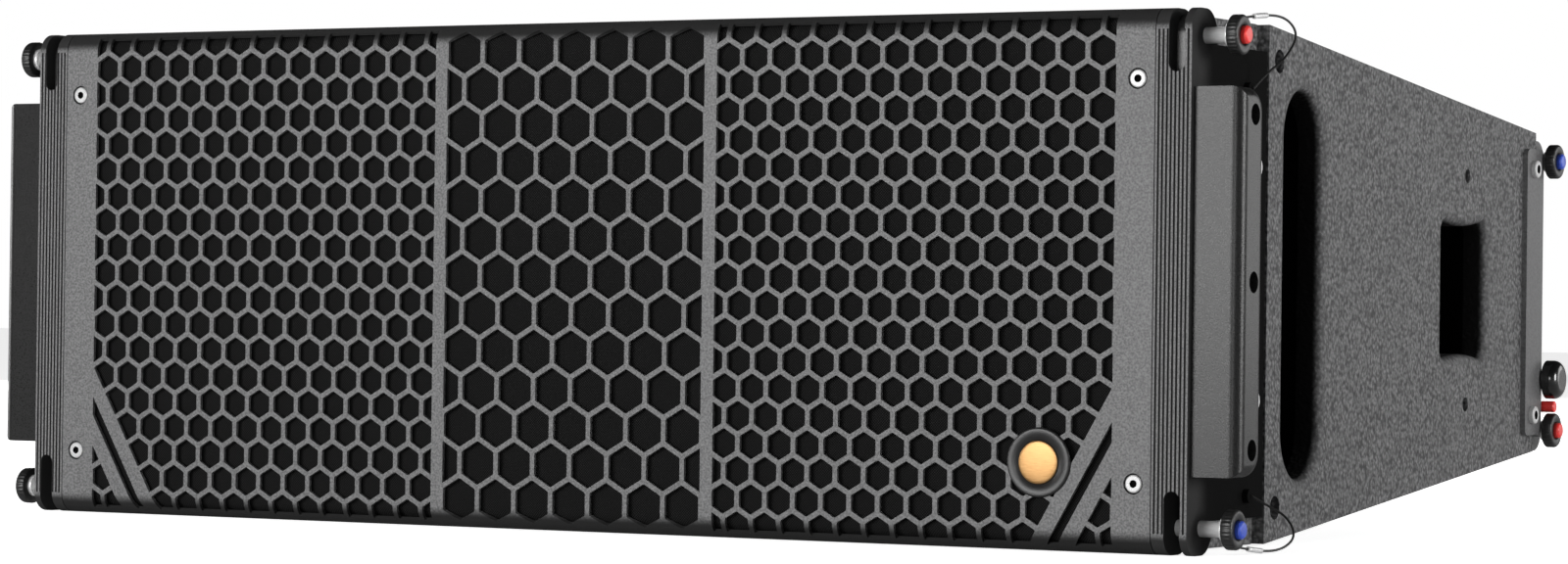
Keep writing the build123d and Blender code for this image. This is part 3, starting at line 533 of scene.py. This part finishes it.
@dataclass
class Grille:
    """Folded perforated sheet with hexagonal cells and slanted stripes in its lower corners.

    The sheet is drawn flat, as x across and s along its height, and then bent: s runs up the
    flat web, round a quarter circle at each fold, and back to the baffle.
    """

    half_width: float
    half_height: float
    front: float
    return_depth: float
    sheet: float = 2.0 * MM
    roll: float = 10.5 * MM
    side_pitch: float = 16.0 * MM
    centre_pitch: float = 22.4 * MM
    strut: float = 2.6 * MM
    bar_x: float = 81.3 * MM
    bar_width: float = 7.1 * MM
    perforated_x: float = 306.6 * MM
    stripe_top: float = 72.5 * MM
    slot_width: float = 5.0 * MM
    band_width: float = 8.2 * MM
    corner: float = 1.1 * MM
    screw_x: float = 318.0 * MM
    screw_height: float = 97.0 * MM
    screw_hole: float = 5.1 * MM
    first_cell: float = 7.2 * MM
    side_rows: int = 9
    centre_rows: int = 6
    least_cut: float = 0.8 * MM
    hole_turns: int = 24
    roll_steps: int = 10
    open_steps: int = 5
    cloth_inset: float = 3.6 * MM
    cloth_past: float = 8 * MM
    cloth_margin: float = 4 * MM
    cloth_grid: tuple[int, int] = (120, 160)

    @property
    def flat(self) -> float:
        """Half height of the flat web."""
        return self.half_height - self.roll

    @property
    def reach(self) -> float:
        """Half length of the sheet along its bend, up to the end of its return."""
        return self.flat + self.roll * math.pi / 2 + self.return_depth - self.roll

    def bend(self, flat_points: np.ndarray, inset: float = 0.0) -> np.ndarray:
        """Bend flat points round the folds.

        A point at s beyond the web turns about the fold's centre by (s - web) / roll, and
        what is left past the quarter circle runs straight back.

        Args:
            flat_points: x and s of each point.
            inset: distance inside the outer face.

        Returns:
            The points in the row frame.
        """
        across, along = flat_points[:, 0], flat_points[:, 1]
        past = np.abs(along) - self.flat
        angle = np.clip(past / self.roll, 0, math.pi / 2)
        straight = np.maximum(past - self.roll * math.pi / 2, 0)
        radius = self.roll - inset
        depth = self.roll - radius * np.cos(angle) + straight
        rise = np.minimum(np.abs(along), self.flat) + radius * np.sin(angle)
        height = np.sign(along) * rise + self.half_height
        return np.stack([across, self.front + depth, height], -1)

    def _centres(self, pitch: float, x0: float, x1: float, rows: int,
                 first: float) -> np.ndarray:
        """Cell centres of one field, in staggered rows, that reach into it.

        Args:
            pitch: distance between cells in a row.
            x0: the field's left edge.
            x1: the field's right edge.
            rows: rows above and below the middle.
            first: x of one centre of the middle row.

        Returns:
            The centres, as x and s.
        """
        row = np.arange(-rows, rows + 1)
        count = int((x1 - x0) / pitch) + 3
        step = np.arange(-count, count + 1)
        x = first + step[None] * pitch + (row[:, None] % 2) * pitch / 2
        s = np.broadcast_to(row[:, None] * pitch * math.cos(HEX), x.shape)
        places = np.stack([x.ravel(), s.ravel()], -1)
        reach = pitch / 2 - self.strut / 2 - self.least_cut
        inside = (places[:, 0] > x0 - reach) & (places[:, 0] < x1 + reach)
        return places[inside]

    def _cell(self, across: float) -> np.ndarray:
        """Outline of one cell, a point up, whose corners are rounded by three points each."""
        radius = across / 2 / math.cos(HEX)
        angle = np.arange(6) * math.pi / 3
        corner = radius * np.stack([np.sin(angle), np.cos(angle)], -1)
        cut = self.corner * math.tan(HEX)
        before = corner + (np.roll(corner, 1, 0) - corner) / radius * cut
        after = corner + (np.roll(corner, -1, 0) - corner) / radius * cut
        middle = (before + after) * 0.25 + corner * 0.5
        return np.stack([before, middle, after], 1).reshape(-1, 2)[::-1]

    def _stripe(self, points: np.ndarray) -> np.ndarray:
        """Distance of flat points from the slanted slot's middle line, in both lower corners."""
        drop = -self.stripe_top - (self.perforated_x - np.abs(points[:, 0])) * math.tan(2 * HEX)
        return (points[:, 1] - drop) * math.cos(2 * HEX)

    def _edges(self) -> tuple[list, list]:
        """Straight lines that the sheet's triangles keep to.

        Returns:
            End points of the lines, and pairs of their numbers.
        """
        ends: list = []
        for x in (self.perforated_x, self.bar_x + self.bar_width / 2,
                  self.bar_x - self.bar_width / 2):
            for sign in (-1, 1):
                ends += [(sign * x, -self.reach), (sign * x, self.reach)]
        for step in range(self.roll_steps + 1):
            s = self.flat + self.roll * math.pi / 2 * step / self.roll_steps
            for sign in (-1, 1):
                ends += [(-self.half_width, sign * s), (self.half_width, sign * s)]
        half = self.slot_width / 2
        slope = math.tan(2 * HEX)
        for side in (-1, 1):
            for away in (half, -half, half + self.band_width, -half - self.band_width):
                top = -self.stripe_top + away / math.cos(2 * HEX)
                run = (self.reach + top) / slope
                ends += [(side * self.perforated_x, top),
                         (side * (self.perforated_x - run), -self.reach)]
        pairs = [(n, n + 1) for n in range(0, len(ends), 2)]
        return ends, pairs

    def _open(self, middles: np.ndarray, in_cell: np.ndarray) -> np.ndarray:
        """Which triangles are holes: cells off the bars and bands, and the slots."""
        x, s = np.abs(middles[:, 0]), middles[:, 1]
        off_bar = np.abs(x - self.bar_x) > self.bar_width / 2
        stripe = self._stripe(middles)
        edge = self.flat + self.roll * math.pi / 2 * self.open_steps / self.roll_steps
        in_field = off_bar & (x < self.perforated_x) & (np.abs(s) < edge)
        off_band = np.abs(stripe) > self.slot_width / 2 + self.band_width
        slot = (np.abs(stripe) < self.slot_width / 2) & (x < self.perforated_x)
        slot &= s > -edge
        return (in_cell & in_field & (off_band | (s > -self.stripe_top / 2))) | slot

    def build(self, shop: Workshop) -> None:
        """Cut, bend and thicken the sheet.

        Args:
            shop: the workshop that makes the piece.
        """
        inner = self.bar_x + self.bar_width / 2
        side_first = self.perforated_x - self.first_cell
        side_cell = self._cell(self.side_pitch - self.strut)
        loops = []
        for sign in (-1, 1):
            x0, x1 = sorted((sign * inner, sign * self.perforated_x))
            places = self._centres(self.side_pitch, x0, x1, self.side_rows,
                                   sign * side_first)
            loops.append(places[:, None] + side_cell[None])
        places = self._centres(self.centre_pitch, -self.bar_x, self.bar_x,
                               self.centre_rows, 0.0)
        loops.append(places[:, None] + self._cell(self.centre_pitch - self.strut)[None])
        side_cells = sum(len(loop) for loop in loops[:-1])
        cells = np.concatenate(loops)
        turns = self.hole_turns
        ring = np.linspace(0, 2 * math.pi, turns, endpoint=False)
        round_hole = self.screw_hole * np.stack([np.cos(ring), np.sin(ring)], -1)
        screws = [(sx * self.screw_x, sz * self.screw_height) for sx in (-1, 1) for sz in (-1, 1)]
        circles = np.array(screws)[:, None] + round_hole[None]
        rim = np.array([(-1, -1), (1, -1), (1, 1), (-1, 1)]) * (self.half_width, self.reach)
        ends, pairs = self._edges()
        points = np.concatenate([rim, np.array(ends), cells.reshape(-1, 2),
                                 circles.reshape(-1, 2)]) / MM
        lines = [(0, 1), (1, 2), (2, 3), (3, 0)] + [(a + 4, b + 4) for a, b in pairs]
        start = 4 + len(ends)
        size = cells.shape[1]
        outlines = [list(range(start + n * size, start + (n + 1) * size))
                    for n in range(len(cells))]
        start += cells.shape[0] * size
        outlines += [list(range(start + n * turns, start + (n + 1) * turns))
                     for n in range(len(screws))]
        made = delaunay_2d_cdt([Vector(p) for p in points.tolist()], lines, outlines, 0, 1e-4)
        flat_points = np.array([tuple(p) for p in made[0]]) * MM
        triangles = np.array(made[2])
        lowest = np.array([min(ids, default=len(points)) for ids in made[5]])
        highest = np.array([max(ids, default=-1) for ids in made[5]])
        middles = flat_points[triangles].mean(1)
        outside = np.abs(middles[:, 0]) > self.bar_x
        in_side = (lowest < side_cells) & outside
        in_centre = (highest >= side_cells) & (highest < len(cells)) & ~outside
        hole = self._open(middles, in_side | in_centre) | (highest >= len(cells))
        kept = triangles[~hole]
        used, numbers = np.unique(kept, return_inverse=True)
        faces = [tuple(face) for face in numbers.reshape(-1, 3).tolist()]
        grille = shop.piece("grille_sheet", self.bend(flat_points[used]), faces, POWDER_AND_SHADE, False)
        thick = grille.modifiers.new("sheet", "SOLIDIFY")
        thick.thickness = self.sheet
        thick.offset = -1
        soft = grille.modifiers.new("rounded edges", "BEVEL")
        soft.width = 0.3 * MM
        soft.segments = 1
        soft.limit_method = "ANGLE"
        soft.angle_limit = math.radians(50)
        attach(grille, "cabinet")
        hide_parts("grille")

    def cloth(self, shop: Workshop) -> None:
        """Stretch the acoustic cloth behind the sheet, just clear of it, round both folds.

        Args:
            shop: the workshop that makes the piece.
        """
        inset = self.cloth_inset
        half = self.flat + self.roll * math.pi / 2 + self.cloth_past
        half_width = self.perforated_x + self.cloth_margin
        rows, columns = self.cloth_grid
        across = np.linspace(-1, 1, columns) * half_width
        along = np.linspace(-half, half, rows)
        x, s = np.meshgrid(across, along, indexing="xy")
        ripple = 0.25 * MM * np.sin(x / (14 * MM)) * np.sin(s / (19 * MM))
        points = self.bend(np.stack([x.ravel(), s.ravel()], -1), inset)
        points[:, 1] += ripple.ravel()
        cloth = shop.piece("grille_cloth", points, grid_faces(rows, columns, False), CLOTH)
        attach(cloth, "cabinet")
        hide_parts("grille_foam")


@dataclass
class Badge:
    """Plain round badge: a black rubber rim with a bronze button in it."""

    radius: float = 17 * MM
    disc: float = 10.5 * MM
    proud: float = 2 * MM

    def build(self, shop: Workshop) -> None:
        """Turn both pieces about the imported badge's middle.

        Args:
            shop: the workshop that makes the pieces.
        """
        low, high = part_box("badge")
        base = ((low.x + high.x) / 2, high.y, (low.z + high.z) / 2)
        angle = np.linspace(0, math.pi / 2, 8)
        rim_r = np.concatenate([[0, self.radius], self.radius - 1.2 * MM * (1 - np.cos(angle)),
                                [self.disc + 0.6 * MM, self.disc + 0.4 * MM, 0]])
        rim_h = np.concatenate([[0, 0], 0.3 * MM + 1.1 * MM * np.sin(angle),
                                [1.4 * MM, 0.8 * MM, 0.8 * MM]])
        points, faces = lathe(rim_r, rim_h, base, (0, -1, 0), 64)
        rim = shop.piece("badge_rim", points, faces, GRIP)
        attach(rim, "cabinet")
        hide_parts("badge")
        dome_r = np.concatenate([[0, self.disc], self.disc * np.cos(angle)])
        dome_h = np.concatenate([[0.8 * MM, 0.8 * MM],
                                 1.3 * MM + 0.65 * MM * np.sin(angle)])
        points, faces = lathe(dome_r, dome_h, base, (0, -1, 0), 64)
        disc = shop.piece("badge_disc", points, faces, BRONZE)
        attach(disc, "cabinet")


@dataclass
class Lanyard:
    """Thin coated wire from a pin's head to the tail plate, with a crimped sleeve.

    The route's points are in millimetres: x, depth from the front face, and height above
    the middle.
    """

    name: str
    pin: str
    route: tuple[Point, ...]
    length: float
    front: float
    middle: float
    radius: float = 0.6 * MM
    sleeve_radius: float = 1.3 * MM
    sides: int = 10

    def _line(self) -> np.ndarray:
        """Points of the smooth line that the route's control points pull on."""
        data = bpy.data.curves.new(f"{self.name}_line", "CURVE")
        data.dimensions = "3D"
        spline = data.splines.new("NURBS")
        spline.points.add(len(self.route) - 1)
        for point, (x, depth, height) in zip(spline.points, self.route):
            point.co = (x * MM, self.front + depth * MM, self.middle + height * MM, 1)
        spline.order_u = 3
        spline.use_endpoint_u = True
        spline.resolution_u = 16
        holder = bpy.data.objects.new(data.name, data)
        mesh = bpy.data.meshes.new_from_object(holder)
        line = np.zeros(len(mesh.vertices) * 3)
        mesh.vertices.foreach_get("co", line)
        bpy.data.objects.remove(holder)
        bpy.data.meshes.remove(mesh)
        return line.reshape(-1, 3)

    def _tube(self, line: np.ndarray, radius: float) -> tuple[np.ndarray, list]:
        """Carry a circle along a line, square to it, and close both ends.

        Args:
            line: the points of the line.
            radius: the circle's radius.

        Returns:
            The points and faces.
        """
        ahead = np.gradient(line, axis=0)
        ahead /= np.linalg.norm(ahead, axis=1, keepdims=True)
        side = np.cross(ahead, (1.0, 0.25, 0.1))
        side /= np.linalg.norm(side, axis=1, keepdims=True)
        other = np.cross(ahead, side)
        angle = np.linspace(0, 2 * math.pi, self.sides, endpoint=False)
        ring = (np.cos(angle)[None, :, None] * side[:, None]
                + np.sin(angle)[None, :, None] * other[:, None])
        points = (line[:, None] + radius * ring).reshape(-1, 3)
        faces = grid_faces(len(line), self.sides, True)
        last = len(points) - self.sides
        faces.append(tuple(range(self.sides))[::-1])
        faces.append(tuple(range(last, last + self.sides)))
        return points, faces

    def build(self, shop: Workshop) -> None:
        """Make the wire and its sleeve.

        Args:
            shop: the workshop that makes the pieces.
        """
        line = self._line()
        points, faces = self._tube(line, self.radius)
        wire = shop.piece(f"{self.name}_wire", points, faces, WIRE)
        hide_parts(self.name)
        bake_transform(wire)
        sleeve_points, sleeve_faces = self._tube(line[4:12], self.sleeve_radius)
        sleeve = shop.piece(f"{self.name}_sleeve", sleeve_points, sleeve_faces, STEEL)
        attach(sleeve, self.pin)


@dataclass
class QuickPin:
    """Quick-release pin turned in three pieces: shaft, knurled head and button cap.

    Places along the pin count from the face of the shaft's tip, towards the head.
    """

    node: str
    finish: Finish
    proud: float = 2.6 * MM
    head_length: float = 6 * MM
    shaft_radius: float = 4 * MM
    collar_radius: float = 6 * MM
    collar: float = 2.5 * MM
    bore: float = 4.6 * MM
    ribs: int = 30
    rib_depth: float = 0.955
    cap_radius: float = 4.4 * MM
    cap_edge: float = 1.4 * MM
    cap_base: float = 3.5 * MM

    def build(self, shop: Workshop) -> None:
        """Turn the shaft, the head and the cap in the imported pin's place.

        Args:
            shop: the workshop that makes the pieces.
        """
        low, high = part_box(self.node)
        right = high.x > 0
        base = (low.x if right else high.x, (low.y + high.y) / 2, (low.z + high.z) / 2)
        axis = (1, 0, 0) if right else (-1, 0, 0)
        head_radius = (high.z - low.z) / 2
        head = high.x - low.x - self.head_length
        radius, chamfer = self.shaft_radius, 0.9 * MM
        shaft_r = np.array([0, radius - chamfer, radius, radius, radius - 0.5 * MM,
                            radius - 0.5 * MM, radius, radius, self.collar_radius - 0.4 * MM,
                            self.collar_radius, self.collar_radius, 0])
        shaft_h = np.array([0, 0, chamfer, 3 * MM, 3.4 * MM, 4.2 * MM, 4.6 * MM,
                            head - self.collar, head - self.collar,
                            head - self.collar + 0.4 * MM, head + 0.1 * MM, head + 0.1 * MM])
        points, faces = lathe(shaft_r, shaft_h, base, axis, 48)
        shaft = shop.piece(f"{self.node}_shaft", points, faces, STEEL)
        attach(shaft, self.node)
        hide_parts(self.node)
        angle = np.linspace(0, math.pi / 2, 6)
        edge = 1.6 * MM
        rim_r = head_radius - edge * (1 - np.cos(angle))
        rim_h = self.head_length - edge + edge * np.sin(angle)
        head_r = np.concatenate([[self.bore, head_radius - 0.6 * MM, head_radius], rim_r,
                                 [self.bore + 1.1 * MM, self.bore, self.bore]])
        head_h = np.concatenate([[0, 0, 0.6 * MM], rim_h,
                                 [self.head_length, self.head_length - 0.7 * MM, 0]]) + head
        turns = self.ribs * 4
        points, faces = lathe(head_r, head_h, base, axis, turns)
        points = points.reshape(len(head_r), turns, 3)
        outer = (head_r > head_radius - 0.1 * MM)[:, None, None]
        notch = (np.arange(turns) % 4 == 0)[None, :, None]
        centre = points.mean(1, keepdims=True)
        points = np.where(outer & notch, centre + (points - centre) * self.rib_depth,
                          points)
        knob = shop.piece(f"{self.node}_head", points.reshape(-1, 3), faces, GRIP)
        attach(knob, self.node)
        button = self.node.replace("_pin_", "_pin_button_")
        top = head + self.head_length + self.proud
        bottom = head + self.cap_base
        rim = self.cap_radius - self.cap_edge * (1 - np.cos(angle))
        press_r = np.concatenate([[0, self.cap_radius, self.cap_radius], rim, [0]])
        press_h = np.concatenate([[bottom, bottom, top - self.cap_edge],
                                  top - self.cap_edge + self.cap_edge * np.sin(angle), [top]])
        points, faces = lathe(press_r, press_h, base, axis, 40)
        press = shop.piece(f"{button}_cap", points, faces, self.finish)
        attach(press, button)
        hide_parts(button)


@dataclass
class ScrewHeads:
    """Heads of one set of screws, each a disc with a rounded edge and a hexagon socket, the
    socket painted near black as shade.
    """

    node: str
    places: tuple[Point, ...]
    axis: Point
    radius: float
    height: float
    socket: float
    finish: Finish
    mirrored: bool = True
    packed: bool = True
    turns: int = 36

    def build(self, shop: Workshop) -> None:
        """Turn every head and join them into one piece.

        Args:
            shop: the workshop that makes the piece.
        """
        radius, height, socket = self.radius, self.height, self.socket
        radii = np.array([0, radius, radius, radius - 0.2 * MM, radius - 0.7 * MM,
                          socket + 0.3 * MM, socket, socket, 0])
        offsets = np.array([0, 0, height - 0.7 * MM, height - 0.25 * MM, height,
                            height, height - 0.3 * MM, height * 0.35, height * 0.35])
        angle = np.linspace(0, 2 * math.pi, self.turns, endpoint=False)
        corner = np.cos(HEX) / np.cos(np.mod(angle, 2 * HEX) - HEX)
        points, faces, count = [], [], len(radii) * self.turns
        places = [(place, self.axis) for place in self.places]
        if self.mirrored:
            places += [((-x, y, z), (-self.axis[0], *self.axis[1:]))
                       for x, y, z in self.places]
        for number, (place, axis) in enumerate(places):
            ring, quads = lathe(radii, offsets, place, axis, self.turns)
            ring = ring.reshape(len(radii), self.turns, 3)
            middle = ring.mean(1, keepdims=True)
            sharp = middle + (ring - middle) * corner[None, :, None] / math.cos(HEX)
            ring[6:8] = sharp[6:8]
            points.append(ring.reshape(-1, 3))
            faces += [tuple(n + number * count for n in quad) for quad in quads]
        heads = shop.piece(f"{self.node}_heads", np.concatenate(points), faces, self.finish,
                           False)
        # Painted shade: the socket's rim, walls and floor wear the near-black cup finish.
        heads.data.materials.append(shop.material(CUP))
        socket_shade = np.arange(len(faces)) % ((len(radii) - 1) * self.turns) >= 5 * self.turns
        heads.data.polygons.foreach_set("material_index", socket_shade.astype(int).tolist())
        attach(heads, "cabinet")
        if self.packed:
            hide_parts(self.node)


@dataclass
class Lip:
    """Rounded edge of a hand opening, swept round its outline and on into the cup. Its paint
    darkens to near black inward as painted shade.
    """

    name: str
    wall: float
    middle: tuple[float, float]
    half: tuple[float, float]
    outline: np.ndarray
    radius: float = 5 * MM
    depth: float = 14 * MM
    steps: int = 8

    def build(self, shop: Workshop) -> None:
        """Sweep the quarter round and a short straight wall, on both sides.

        Args:
            shop: the workshop that makes the pieces.
        """
        angle = np.linspace(0, math.pi / 2, self.steps)
        inset = np.append(self.radius * np.sin(angle), self.radius)
        back = np.append(self.radius * (1 - np.cos(angle)), self.depth)
        less = 1 - inset[:, None] / np.array(self.half)[None]
        rings = np.array(self.middle) + self.outline[None] * less[:, None]
        across = np.broadcast_to((self.wall - back)[:, None, None], (*rings.shape[:2], 1))
        points = np.concatenate([across, rings], -1).reshape(-1, 3)
        faces = grid_faces(len(inset), len(self.outline), True)
        for hand, sign in (("right", 1), ("left", -1)):
            ring = shop.piece(f"{self.name}_{hand}", points * (sign, 1, 1), faces, LIP_PAINT_AND_SHADE)
            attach(ring, "cabinet")


def stadium(half_width: float, half_length: float, turns: int = 48) -> np.ndarray:
    """Outline of a long hole with round ends, about its own middle."""
    angle = np.linspace(0, 2 * math.pi, turns, endpoint=False) + math.pi / turns
    straight = half_length - half_width
    across, along = half_width * np.cos(angle), half_width * np.sin(angle)
    return np.stack([across, along + np.sign(np.sin(angle)) * straight], -1)


def waisted(half_width: float, corner: float, waist: float, rounding: float) -> np.ndarray:
    """Outline of a four-sided hole whose long sides bow inwards, about its own middle."""
    across = np.linspace(-1, 1, 17)
    bow = waist + (corner - waist) * across ** 2
    drop = np.maximum(np.abs(across) * half_width - half_width + rounding, 0)
    bow = bow - rounding + np.sqrt(np.maximum(rounding ** 2 - drop ** 2, 0))
    top = np.stack([across * half_width, bow], -1)
    return np.concatenate([top, -top])


@dataclass(frozen=True)
class Studio:
    """Pale floor, soft lights and the camera at the module's front right."""

    lens: float = 104.84
    place: Point = (1.2464, -2.2431, 0.1130)
    yaw: float = 29.508
    pitch: float = 0.406
    roll: float = 0.717
    horizon: float = 0.25
    ceiling: float = 0.02
    horizon_top: float = 0.12
    ceiling_from: float = 0.38

    def camera(self) -> None:
        """Set the scene's camera from its place and its three turns."""
        data = bpy.data.cameras.new("camera")
        data.lens = self.lens
        data.sensor_width = 36
        turn = (Matrix.Rotation(math.radians(self.yaw), 4, "Z")
                @ Matrix.Rotation(math.radians(90 + self.pitch), 4, "X")
                @ Matrix.Rotation(math.radians(self.roll), 4, "Z"))
        holder = put("camera", data, Matrix.Translation(self.place) @ turn)
        bpy.context.scene.camera = holder

    def floor(self) -> None:
        """Lay a wide pale floor under the module."""
        corner = np.array([(-1, -1, 0), (1, -1, 0), (1, 1, 0), (-1, 1, 0)]) * 15.0
        mesh = bpy.data.meshes.new("floor")
        mesh.from_pydata(corner.tolist(), [], [(0, 1, 2, 3)])
        material = bpy.data.materials.new("pale floor")
        material.use_nodes = True
        shader = material.node_tree.nodes["Principled BSDF"]
        shader.inputs["Base Color"].default_value = (0.9, 0.9, 0.9, 1)
        shader.inputs["Roughness"].default_value = 0.9
        shader.inputs["Emission Color"].default_value = (1, 1, 1, 1)
        seen = material.node_tree.nodes.new("ShaderNodeLightPath")
        glow = material.node_tree.nodes.new("ShaderNodeMath")
        glow.operation = "MULTIPLY"
        glow.inputs[1].default_value = 0.8
        material.node_tree.links.new(seen.outputs["Is Camera Ray"], glow.inputs[0])
        material.node_tree.links.new(glow.outputs[0], shader.inputs["Emission Strength"])
        mesh.materials.append(material)
        floor = put("floor", mesh)

    def lights(self) -> None:
        """Set the square soft lights and the world."""
        for name, place, aim, size, power in (
            ("front_panel", (-0.9, -3.0, 0.35), (0.1, -0.2, 0.13), 1.3, 80),
            ("edge_panel", (2.0, 2.6, 0.4), (0.3, 0.1, 0.13), 1.5, 16),
            ("side_panel", (3.6, 0.1, 0.6), (0.3, 0.1, 0.13), 1.3, 78),
            ("fill_panel", (0.9, -3.3, 0.6), (0.3, 0, 0.13), 0.9, 22),
            ("back_panel", (-2.4, 3.4, 0.9), (0, 0.2, 0.13), 1.6, 90),
            ("far_side_panel", (-3.6, -0.4, 0.5), (-0.3, 0.1, 0.13), 1.3, 45),
        ):
            data = bpy.data.lights.new(name, "AREA")
            data.size = size
            data.energy = power
            turn = (Vector(aim) - Vector(place)).to_track_quat("-Z", "Y").to_matrix().to_4x4()
            put(name, data, Matrix.Translation(place) @ turn)
        world = bpy.data.worlds.new("studio")
        world.use_nodes = True
        tree = world.node_tree
        place = tree.nodes.new("ShaderNodeTexCoord")
        split = tree.nodes.new("ShaderNodeSeparateXYZ")
        fade = tree.nodes.new("ShaderNodeMapRange")
        fade.interpolation_type = "SMOOTHSTEP"
        for name, value in (("From Min", self.horizon_top), ("From Max", self.ceiling_from),
                            ("To Min", self.horizon), ("To Max", self.ceiling)):
            fade.inputs[name].default_value = value
        seen = tree.nodes.new("ShaderNodeLightPath")
        chosen = tree.nodes.new("ShaderNodeMix")
        chosen.inputs[3].default_value = 1.0
        tree.links.new(place.outputs["Generated"], split.inputs[0])
        tree.links.new(split.outputs[2], fade.inputs["Value"])
        tree.links.new(seen.outputs["Is Camera Ray"], chosen.inputs[0])
        tree.links.new(fade.outputs[0], chosen.inputs[2])
        background = tree.nodes["Background"]
        background.inputs["Color"].default_value = (1, 1, 1, 1)
        tree.links.new(chosen.outputs[0], background.inputs["Strength"])
        bpy.context.scene.view_settings.view_transform = "Standard"
        bpy.context.scene.world = world


@dataclass(frozen=True)
class Fittings:
    """Small pieces placed in millimetres from the front face and the middle height."""

    shop: Workshop
    front: float
    middle: float

    def lanyards(self) -> None:
        """Run both wires from their pins to the tail plate."""
        upper = ((363, 23.4, 126.6), (365, 45, 129.6), (366, 68, 129), (362, 91, 122),
                 (352, 98, 111), (343, 96, 104), (337.1, 93, 96))
        lower = ((363, 23.4, -126.6), (365, 46, -129.6), (366, 70, -129.2), (362, 95, -124),
                 (355, 101, -115), (345, 101, -110), (337.1, 97, -105))
        for level, route, length in (("upper", upper, 0.106), ("lower", lower, 0.108)):
            Lanyard(f"{level}_lanyard", f"front_{level}_pin_right", route, length, self.front,
                    self.middle).build(self.shop)

    def _spots(self, x: float, *places: tuple[float, float]) -> tuple[Point, ...]:
        """Points at x, from depths and heights."""
        return tuple((x * MM, self.front + d * MM, self.middle + h * MM) for d, h in places)

    def fasteners(self) -> None:
        """Put the heads on the screws of the grille, bumpers, frames and input plate."""
        tail = self._spots(333.5, (60, 70), (60, -70), (104, 58), (104, -58))
        rear = self._spots(337, (492, 70), (492, -70))
        plate = self._spots(-94, (505, -44), (505, 44)) + self._spots(94, (505, -44), (505, 44))
        bumper = self._spots(363.6, (18, -80), (18, 0), (18, 80))
        for heads in (
            ScrewHeads("grille_screws", self._spots(318, (2, -97), (2, 97)), (0, -1, 0),
                       4.4 * MM, 1.9 * MM, 1.6 * MM, STAINLESS),
            ScrewHeads("bumper_screws", bumper, (1, 0, 0), 4.8 * MM, 4 * MM, 2.2 * MM,
                       BLACK_STEEL),
            ScrewHeads("frame_screws", tail + rear, (1, 0, 0), 5 * MM, 2.6 * MM, 2.2 * MM,
                       STAINLESS),
            ScrewHeads("plate_screws", plate, (0, 1, 0), 3.6 * MM, 2.2 * MM, 1.5 * MM,
                       BLACK_STEEL, mirrored=False, packed=False),
        ):
            heads.build(self.shop)

    def openings(self) -> None:
        """Round the edges of the hand slots and the hand holes."""
        slot, hole_width = (29 * MM, 103.5 * MM), 38.5 * MM
        for name, depth, half, outline in (
            ("hand_slot_lip", 166.5, slot, stadium(*slot)),
            ("hand_hole_lip", 392.5, (hole_width, 42 * MM),
             waisted(hole_width, 44 * MM, 40 * MM, 8 * MM)),
        ):
            middle = (self.front + depth * MM, self.middle)
            Lip(name, 334 * MM, middle, half, outline).build(self.shop)


def main() -> None:
    """Build the module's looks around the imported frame, piece by piece."""
    logging.basicConfig(level=logging.INFO, format="%(name)s: %(message)s")
    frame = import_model()
    shop = Workshop()
    studio = Studio()
    studio.camera()
    low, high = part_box("grille")
    fittings = Fittings(shop, low.y, (low.z + high.z) / 2)
    fittings.lanyards()
    grille = Grille(high.x, (high.z - low.z) / 2, low.y, high.y - low.y)
    grille.build(shop)
    grille.cloth(shop)
    Badge().build(shop)
    fittings.fasteners()
    fittings.openings()
    for end in ("front", "rear"):
        for level in ("upper", "lower"):
            for hand in ("right", "left"):
                red = (end == "front") == (level == "upper")
                QuickPin(f"{end}_{level}_pin_{hand}", RED if red else BLUE).build(shop)
    for name, node in frame["nodes"].items():
        shop.dress_node(name, node)
    studio.floor()
    studio.lights()


if __name__ == "__main__":
    main()
